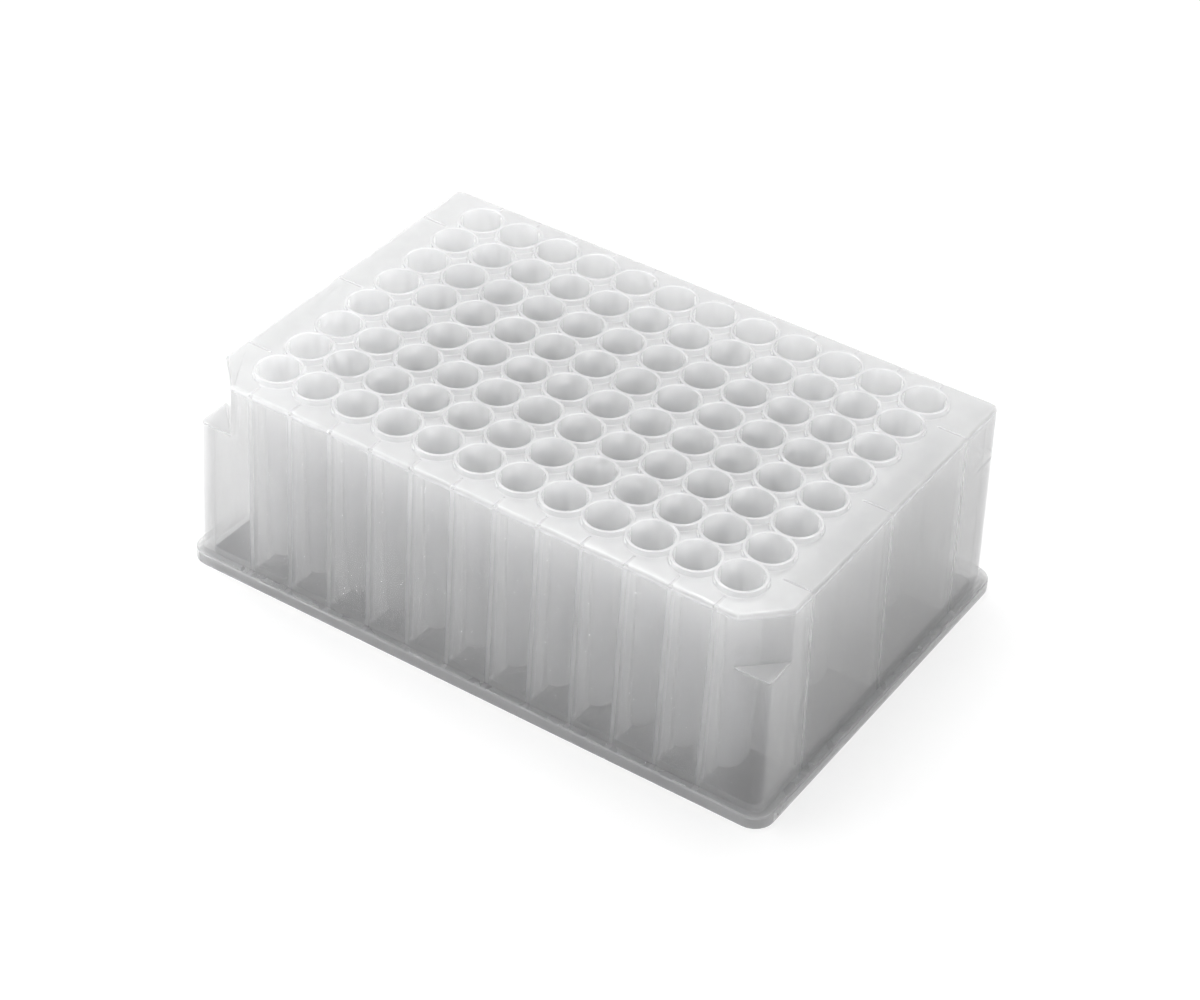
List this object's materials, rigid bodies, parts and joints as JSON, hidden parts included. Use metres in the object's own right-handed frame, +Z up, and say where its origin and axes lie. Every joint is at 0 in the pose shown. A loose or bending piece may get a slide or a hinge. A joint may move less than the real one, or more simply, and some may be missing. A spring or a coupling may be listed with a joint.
{
  "type": "deep well plate",
  "caption": "Deep well plate: open-bottomed drafted skirt with a grid of round wells under raised rims, two cut key corners and a base lip; holds liquid samples.",
  "frame": {"origin": "centre of the base footprint, on the surface the plate stands on", "axes": "+X along the long side (columns of wells), +Y along the short side towards the side whose corners aren't cut, +Z up out of the wells"},
  "size_m": [0.1278, 0.0854, 0.0435],
  "materials": {
    "plate_plastic": "natural translucent polypropylene, satin as moulded"
  },
  "bodies": {
    "root": {"well_plate": "plate_plastic"}
  },
  "joints": []
}
